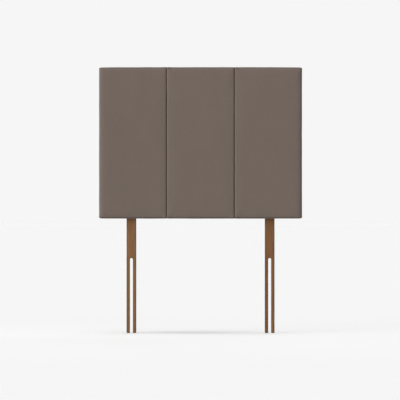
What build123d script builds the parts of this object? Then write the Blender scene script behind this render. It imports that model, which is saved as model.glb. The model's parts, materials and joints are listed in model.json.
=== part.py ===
from build123d import *
import math
import os
from collections import namedtuple

# Padded headboard of a single bed, on two slotted wooden struts. Sizes are millimetres.
# X runs across the bed, Y from the padded front (-Y) to the back (+Y), and Z up.
# The origin is on the floor, midway across the width and midway through the whole depth.

# Padded panel
panel_width = 920
panel_height = 685
panel_foot = 520  # from the floor to the panel's lower edge
centre_channel = 307
corner_round = 8

# Its layers, from the front to the back
cover_thick = 1.5
wadding_thick = 3
foam_thick = 30
board_thick = 3.2
frame_thick = 20
dust_thick = 0.5

# A channel's front falls slowly by drop over run towards its sides, then rolls over into them
edge_drop = 3
edge_run = 60
edge_roll = 12
seam_drop = 2
seam_run = 45
seam_roll = 7

# Cover and cloth at the back
return_lap = 35  # how far the cover laps on to the back of the frame
dust_lap = 20  # how far the dust cover laps over the cover's turned edge

# Seams, tacked to the board under a cardboard strip
flange_width = 12
strip_thick = 1

# Softwood frame
rail_width = 45
stile_width = 45
screw_radius = 2
screw_length = 70
screw_head_radius = 4
screw_head_depth = 2.6
screw_tip = 5
screw_spread = 12  # of each of a joint's two screws from the stile's middle
wood_gap = 0.1  # around a screw, nut or barrel in its hole

# Staples
wire_thick = 0.7
wire_width = 1.2
staple_crown = 10
staple_bite = 6  # how far the legs go into the frame
staple_pitch = 50
corner_clear = 40  # from a corner, a seam or a strut to the first staple
board_staple_margin = 18  # from the board's edge
cover_staple_margin = 8  # from the turned edge of the cover
dust_staple_margin = 7  # from the dust cover's edge

# Struts
strut_edge = 146  # from the panel's side to a strut's middle
strut_width = 44
strut_thick = 20
strut_length = 914
strut_corner = 4
strut_arris = 2
slot_width = 13.5
slot_length = 340

# Bolts, washers and tee nuts that hold a strut to the frame
bolt_radius = 4
bolt_end_gap = 3.6  # from the bolt's end to the face board
bolt_head = 5.3
bolt_across_flats = 13
bolt_hole_gap = 0.5
low_bolt_rise = 110  # above the panel's lower edge
high_bolt_drop = 60  # below the strut's upper end
washer_radius = 12
washer_thick = 1.6
thread_gap = 0.2
nut_flange_radius = 11
nut_flange_thick = 1.5
nut_barrel_wall = 0.8
nut_length = 12
prong_count = 4
prong_circle_radius = 9
prong_width = 3
prong_thick = 1.2
prong_depth = 5

overrun = 5  # how far a cut reaches past what it cuts

# Places through the depth
overall_depth = sum(
    (
        cover_thick,
        wadding_thick,
        foam_thick,
        board_thick,
        frame_thick,
        cover_thick,
        dust_thick,
        strut_thick,
        washer_thick,
        bolt_head,
    )
)
front_y = -overall_depth / 2
foam_inset = cover_thick + wadding_thick
board_y = front_y + foam_inset + foam_thick
frame_y = board_y + board_thick
frame_back_y = frame_y + frame_thick
return_y = frame_back_y + cover_thick
strut_y = return_y + dust_thick
strut_back_y = strut_y + strut_thick
washer_back_y = strut_back_y + washer_thick
bolt_length = washer_back_y - frame_y - bolt_end_gap
strip_staple_y = board_y - 2 * cover_thick - strip_thick - wire_thick

# Places across and up
panel_top = panel_foot + panel_height
panel_middle = (panel_foot + panel_top) / 2
seam_x = centre_channel / 2
strut_x = panel_width / 2 - strut_edge
frame_side = panel_width / 2 - foam_inset
frame_low = panel_foot + foam_inset
frame_high = panel_top - foam_inset
dust_inset = return_lap - dust_lap
stile_low = frame_low + rail_width
stile_high = frame_high - rail_width
outer_stile_x = frame_side - stile_width / 2
slot_top = slot_length - slot_width / 2  # centre of the slot's round end
bolt_heights = (panel_foot + low_bolt_rise, strut_length - high_bolt_drop)

# How a channel's front is rounded towards the panel's edge, and towards a seam
Rim = namedtuple("Rim", "drop run roll")
edge_rim = Rim(edge_drop, edge_run, edge_roll)
seam_rim = Rim(seam_drop, seam_run, seam_roll)

# Each channel: its low and high side, and the rounding at each
Channel = namedtuple("Channel", "low high low_rim high_rim")
channels = {
    "left": Channel(-panel_width / 2, -seam_x, edge_rim, seam_rim),
    "centre": Channel(-seam_x, seam_x, seam_rim, seam_rim),
    "right": Channel(seam_x, panel_width / 2, seam_rim, edge_rim),
}
outer_sides = {"left": -1, "right": 1}


def block(x_span, y_span, z_span):
    """A box between two places on each axis."""
    spans = (x_span, y_span, z_span)
    middle = [(low + high) / 2 for low, high in spans]
    sizes = [high - low for low, high in spans]
    return Pos(*middle) * Box(*sizes)


def mirrored(side, inner, outer):
    """The span between two distances from the middle, on the side that is -1 or 1."""
    return sorted((side * inner, side * outer))


def rim_arcs(place, outward, rim, inset):
    """The slow arc and the roll that lead from the flat front to one side."""
    lean = 2 * math.atan(rim.drop / rim.run)
    slow_radius = rim.run / math.sin(lean)
    flat_end = place - outward * (rim.run + rim.roll * (1 - math.sin(lean)))
    turn = outward * math.degrees(lean)
    slow = JernArc((flat_end, inset), (outward, 0), slow_radius - inset, turn)
    roll = JernArc(slow @ 1, slow % 1, rim.roll - inset, outward * 90 - turn)
    return slow, roll


def front_section(low, high, low_rim, high_rim, inset, depth):
    """A section whose front is rounded towards both sides, inset from the outside.

    Its first axis runs from side to side, and its second from the front into the panel.
    """
    low_slow, low_roll = rim_arcs(low, -1, low_rim, inset)
    high_slow, high_roll = rim_arcs(high, 1, high_rim, inset)
    flat = Line(low_slow @ 0, high_slow @ 0)
    high_side = Line(high_roll @ 1, (high - inset, depth))
    back = Line(high_side @ 1, (low + inset, depth))
    low_side = Line(back @ 1, low_roll @ 1)
    outline = [flat, high_slow, high_roll, high_side, back, low_side, low_roll, low_slow]
    return make_face(outline)


def panel_slab(inset, y_span):
    """The panel's outline with its round corners, inset, between two depths."""
    outline = RectangleRounded(
        panel_width - 2 * inset,
        panel_height - 2 * inset,
        corner_round - inset,
    )
    plane = Plane(origin=(0, y_span[0], panel_middle), x_dir=(1, 0, 0), z_dir=(0, 1, 0))
    return extrude(plane * outline, y_span[1] - y_span[0])


def channel_body(channel, inset, back_y):
    """A channel's space from its front to back_y, inset from the outside all round."""
    depth = back_y - front_y
    across = front_section(*channel, inset, depth)
    floor = Plane(origin=(0, front_y, panel_foot), x_dir=(1, 0, 0), z_dir=(0, 0, 1))
    upright = extrude(floor * across, panel_height)
    height = front_section(panel_foot, panel_top, edge_rim, edge_rim, inset, depth)
    side = Plane(origin=(0, front_y, 0), x_dir=(0, 0, 1), z_dir=(-1, 0, 0))
    level = extrude(side * height, panel_width / 2, both=True)
    return upright & level & panel_slab(inset, (front_y, back_y))


def seam_layer(side, inner, outer, low_y, high_y):
    """A flat strip beside a seam, as tall as the frame."""
    x_span = mirrored(side, seam_x + inner, seam_x + outer)
    return block(x_span, (low_y, high_y), (frame_low, frame_high))


def centre_flange(side):
    """The centre cover's edge, turned out on the board under the next channel."""
    return seam_layer(side, 0, flange_width, board_y - cover_thick, board_y)


def outer_flange(side):
    """An outer cover's edge, turned back over the centre cover's."""
    top_y = board_y - 2 * cover_thick
    return seam_layer(side, 0, flange_width, top_y, board_y - cover_thick)


def tack_strip(side):
    """Cardboard strip that presses both flanges on the board."""
    back = board_y - 2 * cover_thick
    return seam_layer(side, cover_thick, flange_width, back - strip_thick, back)


def seam_rebate(side):
    """The room that flanges, strip and staples take under an outer channel's padding."""
    return seam_layer(side, 0, flange_width, strip_staple_y, board_y)


def back_window():
    """The opening between the cover's turned edges at the back."""
    side = frame_side - return_lap
    z_span = (frame_low + return_lap, frame_high - return_lap)
    return block((-side, side), (frame_back_y, return_y), z_span)


def cover(name):
    """One channel's cover, from its front round the edges to the back of the frame."""
    channel = channels[name]
    skin = channel_body(channel, 0, return_y)
    skin -= channel_body(channel, cover_thick, board_y)
    skin -= panel_slab(cover_thick, (board_y, frame_back_y))
    skin -= back_window()
    if name in outer_sides:
        side = outer_sides[name]
        return skin - centre_flange(side) + outer_flange(side)
    return skin + centre_flange(-1) + centre_flange(1)


def wadding(name):
    """Soft layer over a channel's foam, down the edges to the back of the frame."""
    channel = channels[name]
    layer = channel_body(channel, cover_thick, frame_back_y)
    layer -= channel_body(channel, foam_inset, board_y)
    layer -= panel_slab(foam_inset, (board_y, frame_back_y))
    if name in outer_sides:
        layer -= seam_rebate(outer_sides[name])
    return layer


def foam(name):
    """Foam pad of one channel, with its crown and rolled sides."""
    pad = channel_body(channels[name], foam_inset, board_y)
    if name in outer_sides:
        pad -= seam_rebate(outer_sides[name])
    return pad


def staple(leg):
    """A staple whose crown lies along X at zero height, with its legs along +Z."""
    base = (Align.CENTER, Align.CENTER, Align.MIN)
    bar = Box(staple_crown, wire_width, leg, align=base)
    gap = Box(staple_crown - 2 * wire_thick, wire_width, leg, align=base)
    return bar - Pos(0, 0, wire_thick) * gap


def spaced(low, high):
    """Staple places between two stops, clear of both."""
    room = high - low - 2 * corner_clear
    gaps = max(1, round(room / staple_pitch))
    return [low + corner_clear + room * i / gaps for i in range(gaps + 1)]


def driven(shape, across, up, y, inward, x_dir):
    """A staple at one place, driven along Y, with its crown along x_dir."""
    plane = Plane(origin=(across, y, up), x_dir=x_dir, z_dir=(0, inward, 0))
    return plane * shape


def staple_rows(leg, y, inward, inset, stops):
    """Staples along the frame's four edges, and between the given stops along the rails."""
    shape = staple(leg)
    made = []
    for low, high in zip(stops, stops[1:]):
        for across in spaced(low, high):
            for up in (frame_low + inset, frame_high - inset):
                made.append(driven(shape, across, up, y, inward, (1, 0, 0)))
    for up in spaced(frame_low, frame_high):
        for across in (inset - frame_side, frame_side - inset):
            made.append(driven(shape, across, up, y, inward, (0, 0, 1)))
    return made


def cover_staples():
    """Staples pressed into the cover's turned edges."""
    stops = (-frame_side, -seam_x, seam_x, frame_side)
    leg = cover_thick + staple_bite
    return staple_rows(leg, return_y, -1, return_lap - cover_staple_margin, stops)


def dust_cover_staples():
    """Staples over the dust cover's edges, clear of the struts."""
    stops = (-frame_side, -strut_x, strut_x, frame_side)
    crown_y = strut_y + wire_thick
    leg = crown_y - frame_back_y + staple_bite
    return staple_rows(leg, crown_y, -1, dust_inset + dust_staple_margin, stops)


def face_board_staples():
    """Staples sunk flush in the board, round its edges."""
    stops = (-frame_side, -seam_x, seam_x, frame_side)
    return staple_rows(board_thick + staple_bite, board_y, 1, board_staple_margin, stops)


def tack_strip_staples():
    """Staples through each tack strip, both flanges and the board into the stile."""
    shape = staple(frame_y - strip_staple_y + staple_bite)
    across = seam_x + (cover_thick + flange_width) / 2
    made = []
    for side in outer_sides.values():
        for up in spaced(frame_low, frame_high):
            made.append(driven(shape, side * across, up, strip_staple_y, 1, (0, 0, 1)))
    return made


def screw(grow):
    """Countersunk screw along +Z with its head at zero, made larger by grow."""
    shank = screw_radius + grow
    profile = Polyline(
        (0, 0),
        (screw_head_radius + grow, 0),
        (shank, screw_head_depth),
        (shank, screw_length - screw_tip),
        (0, screw_length),
        close=True,
    )
    return revolve(Plane.XZ * make_face(profile), Axis.Z)


def frame_screws(grow=0):
    """Two screws through a rail into each end of each stile."""
    shape = screw(grow)
    middle_y = (frame_y + frame_back_y) / 2
    made = []
    for stile_x in (outer_stile_x, seam_x, strut_x):
        for middle in (-stile_x, stile_x):
            for across in (middle - screw_spread, middle + screw_spread):
                made.append(Pos(across, middle_y, frame_low) * shape)
                made.append(Pos(across, middle_y, frame_high) * Rot(X=180) * shape)
    return made


def tee_nut(grow):
    """Tee nut with its flange at zero, and its barrel and prongs along +Z."""
    base = (Align.CENTER, Align.CENTER, Align.MIN)
    barrel = bolt_radius + thread_gap + nut_barrel_wall + grow
    nut = Cylinder(nut_flange_radius + grow, nut_flange_thick, align=base)
    nut += Cylinder(barrel, nut_length, align=base)
    prong = Box(prong_thick, prong_width, prong_depth, align=base)
    for i in range(prong_count):
        turn = Rot(Z=360 * i / prong_count)
        nut += turn * Pos(prong_circle_radius, 0, 0) * prong
    return nut


def at_bolts(shape, y, toward):
    """A shape at each strut bolt, with its +Z turned along Y, toward being -1 or 1."""
    made = []
    for across in (-strut_x, strut_x):
        for up in bolt_heights:
            plane = Plane(origin=(across, y, up), x_dir=(1, 0, 0), z_dir=(0, toward, 0))
            made.append(plane * shape)
    return made


def drill(radius, low_y, high_y):
    """Holes through a layer, at each strut bolt."""
    base = (Align.CENTER, Align.CENTER, Align.MIN)
    depth = high_y - low_y + 2 * overrun
    return at_bolts(Cylinder(radius, depth, align=base), low_y - overrun, 1)


def tee_nuts():
    """Nuts let into the front of the strut stiles."""
    base = (Align.CENTER, Align.CENTER, Align.MIN)
    bore = Cylinder(bolt_radius + thread_gap, nut_length, align=base)
    return at_bolts(tee_nut(0) - bore, frame_y, 1)


def strut_bolts():
    """Hexagon bolts through strut, dust cover and stile into the nuts."""
    base = (Align.CENTER, Align.CENTER, Align.MIN)
    head = extrude(
        RegularPolygon(bolt_across_flats / 2, side_count=6, major_radius=False),
        -bolt_head,
    )
    shank = Cylinder(bolt_radius, bolt_length, align=base)
    return at_bolts(head + shank, washer_back_y, -1)


def strut_washers():
    """Wide washers between bolt heads and struts."""
    base = (Align.CENTER, Align.CENTER, Align.MIN)
    ring = Cylinder(washer_radius, washer_thick, align=base)
    ring -= Cylinder(bolt_radius + bolt_hole_gap, washer_thick, align=base)
    return at_bolts(ring, strut_back_y, 1)


def near(body, cuts):
    """The cuts whose boxes reach the body's box."""
    box = body.bounding_box()
    return [cut for cut in cuts if box.overlaps(cut.bounding_box())]


def rail(low, cuts):
    """A rail of the frame, as long as the frame is wide."""
    body = panel_slab(foam_inset, (frame_y, frame_back_y))
    body &= block((-frame_side, frame_side), (frame_y, frame_back_y), (low, low + rail_width))
    return body - near(body, cuts)


def stile(middle, cuts):
    """An upright of the frame, between the two rails."""
    x_span = (middle - stile_width / 2, middle + stile_width / 2)
    body = block(x_span, (frame_y, frame_back_y), (stile_low, stile_high))
    return body - near(body, cuts)


def face_board(cuts):
    """Hardboard over the whole front of the frame."""
    return panel_slab(foam_inset, (board_y, frame_y)) - cuts


def dust_cover(cuts):
    """Thin cloth over the back, just inside the frame's edge."""
    side = frame_side - dust_inset
    z_span = (frame_low + dust_inset, frame_high - dust_inset)
    return block((-side, side), (return_y, strut_y), z_span) - cuts


def slot_mouth(middle, y_span):
    """What the foot of a strut loses where the slot's open end is rounded into it."""
    half = slot_width / 2 + strut_corner
    mouth = block((middle - half, middle + half), y_span, (-overrun, strut_corner))
    end = Rot(X=90) * Cylinder(strut_corner, y_span[1] - y_span[0])
    for across in (middle - half, middle + half):
        mouth -= Pos(across, sum(y_span) / 2, strut_corner) * end
    return mouth


def strut(middle, cuts):
    """Wooden strut with eased edges and a slot that is open at the foot."""
    outline = RectangleRounded(strut_width, strut_length, strut_corner)
    front = Plane(
        origin=(middle, strut_y, strut_length / 2), x_dir=(1, 0, 0), z_dir=(0, 1, 0)
    )
    body = extrude(front * outline, strut_thick)
    body = fillet((body.faces() | Axis.Y).edges(), strut_arris)
    half = slot_width / 2
    y_span = (strut_y - overrun, strut_back_y + overrun)
    body -= block((middle - half, middle + half), y_span, (-overrun, slot_top))
    body -= slot_mouth(middle, y_span)
    end = Cylinder(half, strut_thick + 2 * overrun)
    body -= Pos(middle, (strut_y + strut_back_y) / 2, slot_top) * Rot(X=90) * end
    return body - near(body, cuts)


def frame_parts(cuts):
    """Rails and stiles by name."""
    return {
        "frame_top_rail": rail(frame_high - rail_width, cuts),
        "frame_bottom_rail": rail(frame_low, cuts),
        "frame_left_stile": stile(-outer_stile_x, cuts),
        "frame_right_stile": stile(outer_stile_x, cuts),
        "strut_stile_left": stile(-strut_x, cuts),
        "strut_stile_right": stile(strut_x, cuts),
        "seam_stile_left": stile(-seam_x, cuts),
        "seam_stile_right": stile(seam_x, cuts),
    }


def padding_parts(turned_staples, strip_staples):
    """Covers, wadding, foam and tack strips by name."""
    made = {}
    for name in channels:
        skin = cover(name)
        made[f"cover_{name}"] = skin - near(skin, turned_staples + strip_staples)
        made[f"wadding_{name}"] = wadding(name)
        made[f"foam_{name}"] = foam(name)
    for name, side in outer_sides.items():
        strip = tack_strip(side)
        made[f"tack_strip_{name}"] = strip - near(strip, strip_staples)
    return made


def all_parts():
    """Every sub-part by name."""
    turned = cover_staples()
    dust = dust_cover_staples()
    board = face_board_staples()
    strips = tack_strip_staples()
    barrel = bolt_radius + thread_gap + nut_barrel_wall + wood_gap
    nut_cuts = at_bolts(tee_nut(wood_gap), frame_y, 1) + drill(barrel, frame_y, frame_back_y)
    bolt_hole = bolt_radius + bolt_hole_gap
    made = frame_parts(turned + dust + board + strips + frame_screws(wood_gap) + nut_cuts)
    made.update(padding_parts(turned + dust, strips))
    made["face_board"] = face_board(board + strips)
    made["dust_cover"] = dust_cover(dust + drill(bolt_hole, return_y, strut_y))
    strut_holes = drill(bolt_hole, strut_y, strut_back_y)
    made["strut_left"] = strut(-strut_x, strut_holes)
    made["strut_right"] = strut(strut_x, strut_holes)
    made["cover_staples"] = Compound(turned)
    made["dust_cover_staples"] = Compound(dust)
    made["face_board_staples"] = Compound(board)
    made["tack_strip_staples"] = Compound(strips)
    made["frame_screws"] = Compound(frame_screws())
    made["tee_nuts"] = Compound(tee_nuts())
    made["strut_bolts"] = Compound(strut_bolts())
    made["strut_washers"] = Compound(strut_washers())
    return made


os.makedirs("parts", exist_ok=True)
for name, shape in all_parts().items():
    export_step(shape, f"parts/{name}.step")
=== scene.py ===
"""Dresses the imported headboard: its covers, dust cover and bolts, its finishes, and a plain studio."""

import json
import math

import bmesh
import bpy
from bpy.props import FloatProperty, FloatVectorProperty, IntProperty, PointerProperty
from bpy.types import Operator, Panel, PropertyGroup
from mathutils import Matrix, Vector, kdtree, noise


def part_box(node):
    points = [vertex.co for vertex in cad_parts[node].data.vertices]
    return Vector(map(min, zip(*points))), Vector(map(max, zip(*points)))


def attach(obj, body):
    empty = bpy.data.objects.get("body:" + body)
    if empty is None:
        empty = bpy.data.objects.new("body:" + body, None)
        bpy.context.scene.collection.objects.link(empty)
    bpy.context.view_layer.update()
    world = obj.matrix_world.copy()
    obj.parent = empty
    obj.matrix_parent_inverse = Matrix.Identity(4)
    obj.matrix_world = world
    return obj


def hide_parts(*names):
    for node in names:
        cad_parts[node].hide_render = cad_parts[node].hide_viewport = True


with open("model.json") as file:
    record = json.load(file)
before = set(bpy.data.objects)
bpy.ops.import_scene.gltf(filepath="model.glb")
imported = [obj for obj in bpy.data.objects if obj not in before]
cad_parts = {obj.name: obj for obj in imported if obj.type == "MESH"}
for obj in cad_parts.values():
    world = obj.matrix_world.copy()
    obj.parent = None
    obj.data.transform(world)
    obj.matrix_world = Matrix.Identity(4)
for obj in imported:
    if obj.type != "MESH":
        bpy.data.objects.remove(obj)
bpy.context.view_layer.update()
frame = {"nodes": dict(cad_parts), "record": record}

bl_info = {
    "name": "Padded headboard",
    "version": (1, 0, 0),
    "blender": (4, 5, 0),
    "location": "3D View > Sidebar > Headboard",
    "description": "Covers, dust cover, bolts and finishes of a padded headboard, with its studio",
    "category": "Object",
}

BODY = "root"

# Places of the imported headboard, in metres
PANEL_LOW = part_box("cover_left")[0]
PANEL_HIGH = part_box("cover_right")[1]
SEAM = abs(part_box("cover_left")[1].x)
FRONT = PANEL_LOW.y
BACK = PANEL_HIGH.y
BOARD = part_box("face_board")[0]
DUST_LOW, DUST_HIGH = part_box("dust_cover")
STRUT_LOW, STRUT_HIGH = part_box("strut_right")
STRUT_MIDDLE = (STRUT_LOW.x + STRUT_HIGH.x) / 2
STRUT_HALF = (STRUT_HIGH.x - STRUT_LOW.x) / 2

SLOT_COLOURS = {entry["slot"]: entry["base_color"][:3] for entry in frame["record"]["materials"]}

FRAME_NODES = ("frame_top_rail", "frame_bottom_rail", "frame_left_stile", "frame_right_stile")
STILE_NODES = ("strut_stile_left", "strut_stile_right", "seam_stile_left", "seam_stile_right")
WIRE_NODES = ("cover_staples", "dust_cover_staples", "face_board_staples", "tack_strip_staples")

# Each strut's side, how it differs from the stain in red, green and blue, the drift of its grain,
# and its middle across
STRUT_LOOKS = (
    ("left", (1.175, 1.14, 1.005), 0.0, -STRUT_MIDDLE),
    ("right", (1.02, 0.925, 0.76), 3.0, STRUT_MIDDLE),
)


def length(name, words, default):
    """A size that the user can change, in metres."""
    return FloatProperty(name=name, description=words, default=default, unit="LENGTH", precision=4)


def strength(name, words, default):
    """A strength from nothing up."""
    return FloatProperty(name=name, description=words, default=default, min=0)


def share(name, words, default):
    """A share from nothing to all."""
    return FloatProperty(name=name, description=words, default=default, min=0, max=1, subtype="FACTOR")


def colour(name, words, default):
    """A colour that the user can change, as light."""
    return FloatVectorProperty(
        name=name, description=words, default=default, size=3, min=0, max=1, subtype="COLOR"
    )


def floor_place(name, words, default):
    """A place or a reach on the floor, across and through the depth, in metres."""
    return FloatVectorProperty(name=name, description=words, default=default, size=2, unit="LENGTH")


class CoverSettings(PropertyGroup):
    """The padded covers and their fabric."""

    fabric: colour("Fabric", "Colour of the pile", SLOT_COLOURS["cover_fabric"])
    edge_cell: length("Edge roll", "Span of the cage that rounds the panel's edges", 0.021)
    seam_cell: length("Seam roll", "Span of the cage that rounds the seams", 0.0062)
    roll_depth: length("Roll depth", "Span of the cage that rounds the front, into the panel", 0.017)
    seam_depth: share("Seam depth", "Depth of the roll at a seam, as a share of an edge's", 0.26)
    edge_fall: length("Edge fall", "How far the front falls towards the panel's edges", 0.001)
    edge_run: length("Edge run", "How far from the edge the front starts to fall", 0.032)
    seam_fall: length("Seam fall", "How far the front falls at a seam", 0.0026)
    seam_run: length("Seam run", "Distance over which that fall fades to a third", 0.007)
    lap: length("Turned edge", "How far the cover laps on to the frame's back", 0.035)
    skin: length("Skin", "Thickness of the cover", 0.0015)
    swell: length("Swell", "How far the filling may push the cover out", 0.0009)
    wall_swell: length("Wall swell", "How far it may push out the panel's top and bottom", 0.0003)
    pressure: strength("Pressure", "Push of the filling", 1.5)
    settle_frames: IntProperty(
        name="Frames", description="Steps that the cover settles for", default=16, min=1
    )
    corner: share("Corner", "How tight the cover is drawn over the panel's corners", 0.4)
    pleat: length("Pleat", "Height of the folded layer at the corners", 0.0011)
    wander: length("Seam wander", "How far a seam strays from its line", 0.0005)


class DustCoverSettings(PropertyGroup):
    """The thin cloth on the back."""

    cloth: colour("Cloth", "Colour of the dust cover", SLOT_COLOURS["dust_cloth"])
    thickness: length("Thickness", "Thickness of the cloth", 0.0002)
    ripple: length("Ripple", "Height of the ripples between its staples", 0.0009)
    hem: length("Hem", "Width of the edge that is folded under", 0.012)


class TimberSettings(PropertyGroup):
    """The struts, the frame and the board."""

    stain: colour("Stain", "Colour of the stained struts", SLOT_COLOURS["stained_wood"])
    softwood: colour("Softwood", "Colour of the frame", SLOT_COLOURS["softwood"])
    hardboard: colour("Hardboard", "Colour of the face board", SLOT_COLOURS["hardboard"])
    card: colour("Card", "Colour of the tack strips", SLOT_COLOURS["tack_card"])


class FixingSettings(PropertyGroup):
    """Bolts, washers, nuts, screws and staples."""

    zinc: colour("Zinc", "Colour of the plated steel", SLOT_COLOURS["zinc_steel"])
    wire: colour("Wire", "Colour of the staples", SLOT_COLOURS["staple_wire"])
    washer_edge: length("Washer edge", "Rounding of a washer's edges", 0.0003)
    washer_hole: length("Washer hole", "Radius of a washer's hole", 0.0045)
    shank: length("Shank", "Radius of a bolt's shank", 0.004)
    land_share: share("Head land", "Flat top of a bolt head, as a share of its width", 0.94)


class StageSettings(PropertyGroup):
    """Floor, lamps and camera."""

    backdrop: share("Backdrop", "Brightness of the plain background", 0.922)
    floor_share: share("Floor light", "How much of the floor's look is its own light", 0.2)
    floor_tint: share("Floor", "Brightness of the floor under the lamps", 0.94)
    # A painted pool of light in the floor's own glow, in front of the object
    pool: share("Pool", "How much brighter the floor shines in front of the object", 0.25)
    pool_place: floor_place("Pool place", "Middle of the brighter floor", (-0.4, -0.7))
    pool_reach: length("Pool reach", "How far from there it shines brighter", 2.2)
    # A painted shadow in the floor's own glow, below the panel
    shade: share("Shade", "How much less it shines below the panel", 1.0)
    shade_place: floor_place("Shade place", "Middle of that shade", (-0.01, 0.05))
    shade_reach: floor_place("Shade reach", "How far that shade reaches", (0.4, 0.21))
    floor_bounce: share("Floor bounce", "Brightness of the floor as it lights the object", 0.6)
    ambient: strength("Ambient", "Light from all round", 0.42)
    key: strength("Key", "Lamp at the front left", 3.9)
    top: strength("Top", "Each of the lamps overhead", 0.45)
    rear: strength("Rear", "Lamp at the back right", 1.3)
    lens: FloatProperty(name="Lens", description="Focal length in millimetres", default=250, min=1)
    view_width: length("View width", "Width of the picture at the front of the panel", 1.8076)
    view_side: length("View side", "Camera's place across", -0.0025)
    view_height: length("View height", "Camera's height over the floor", 0.604)


SETTINGS = {
    "headboard_cover": CoverSettings,
    "headboard_dust_cover": DustCoverSettings,
    "headboard_timber": TimberSettings,
    "headboard_fixings": FixingSettings,
    "headboard_stage": StageSettings,
}


# Finishes


def operation(name, turned=False):
    """A Python operator that adds the Math node of that name."""

    def apply(first, second):
        pair = (second, first) if turned else (first, second)
        return first.nodes.math(name, *pair)

    return apply


class Value:
    """A socket among a finish's nodes, for use in expressions."""

    def __init__(self, nodes, socket):
        self.nodes = nodes
        self.socket = socket

    __add__ = __radd__ = operation("ADD")
    __mul__ = __rmul__ = operation("MULTIPLY")
    __sub__ = operation("SUBTRACT")
    __rsub__ = operation("SUBTRACT", turned=True)

    def __abs__(self):
        return self.nodes.math("ABSOLUTE", self)


def four(shade):
    """A colour with its opacity."""
    return (*shade, 1.0)


def tinted(shade, *shares):
    """A colour with its red, green and blue multiplied, all alike where one share is given."""
    if len(shares) == 1:
        shares *= 3
    return tuple(min(1.0, part * share) for part, share in zip(shade, shares))


class Nodes:
    """The nodes of a material or a world, written as expressions."""

    def __init__(self, owner):
        owner.use_nodes = True
        self.tree = owner.node_tree
        self.tree.nodes.clear()

    def node(self, kind, settings=None, inputs=None, output=0):
        """A node of that kind, with its settings, then the values or links of its sockets."""
        made = self.tree.nodes.new(kind)
        for name, value in (settings or {}).items():
            setattr(made, name, value)
        for name, value in (inputs or {}).items():
            if isinstance(value, Value):
                self.tree.links.new(value.socket, made.inputs[name])
            else:
                made.inputs[name].default_value = value
        return Value(self, made.outputs[output]) if made.outputs else made

    def math(self, name, *values):
        """A Math node's result."""
        return self.node("ShaderNodeMath", {"operation": name}, dict(enumerate(values)))


class Finish(Nodes):
    """A material whose patterns follow places on the object."""

    def __init__(self, name):
        self.material = bpy.data.materials.new(name)
        super().__init__(self.material)
        self.place = self.node("ShaderNodeTexCoord", output="Object")

    def along(self, axis):
        """Place on the object along one axis."""
        return self.node("ShaderNodeSeparateXYZ", inputs={0: self.place}, output=axis)

    def vector(self, name, *values, output=0):
        """A Vector Math node's result."""
        inputs = dict(enumerate(values))
        return self.node("ShaderNodeVectorMath", {"operation": name}, inputs, output)

    def stretched(self, factors):
        """Places on the object, multiplied along each axis."""
        return self.vector("MULTIPLY", self.place, factors)

    def reach(self, centre, radii):
        """Distance from a centre, where each axis counts its radius as 1."""
        off = self.vector("SUBTRACT", self.place, centre)
        return self.vector("LENGTH", self.vector("DIVIDE", off, radii), output=1)

    def fade(self, value, start, end):
        """From 0 at start to 1 at end, smoothly."""
        return self.node(
            "ShaderNodeMapRange",
            {"interpolation_type": "SMOOTHSTEP"},
            {"Value": value, "From Min": start, "From Max": end},
        )

    def cloud(self, scale, stretch=(1, 1, 1), detail=2.0, roughness=0.5, distortion=0.0):
        """Soft noise from 0 to 1, with about scale patches in a metre."""
        return self.node(
            "ShaderNodeTexNoise",
            inputs={
                "Vector": self.stretched(stretch),
                "Scale": scale,
                "Detail": detail,
                "Roughness": roughness,
                "Distortion": distortion,
            },
        )

    def mix(self, mask, first, second):
        """Colour from first, where the mask is 0, to second, where it is 1."""
        return self.node(
            "ShaderNodeMix",
            {"data_type": "RGBA"},
            {
                0: mask,
                6: first if isinstance(first, Value) else four(first),
                7: second if isinstance(second, Value) else four(second),
            },
            output=2,
        )

    def bump(self, height, distance, strength):
        """Relief from a height of 0 to 1, where 1 stands out by the distance."""
        return self.node(
            "ShaderNodeBump",
            inputs={"Height": height, "Distance": distance, "Strength": strength},
        )

    def surface(self, **sockets):
        """Ends the finish in a Principled shader. Socket names have _ for spaces."""
        named = {name.replace("_", " "): value for name, value in sockets.items()}
        shader = self.node("ShaderNodeBsdfPrincipled", inputs=named)
        self.node("ShaderNodeOutputMaterial", inputs={"Surface": shader})
        return self.material


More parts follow.
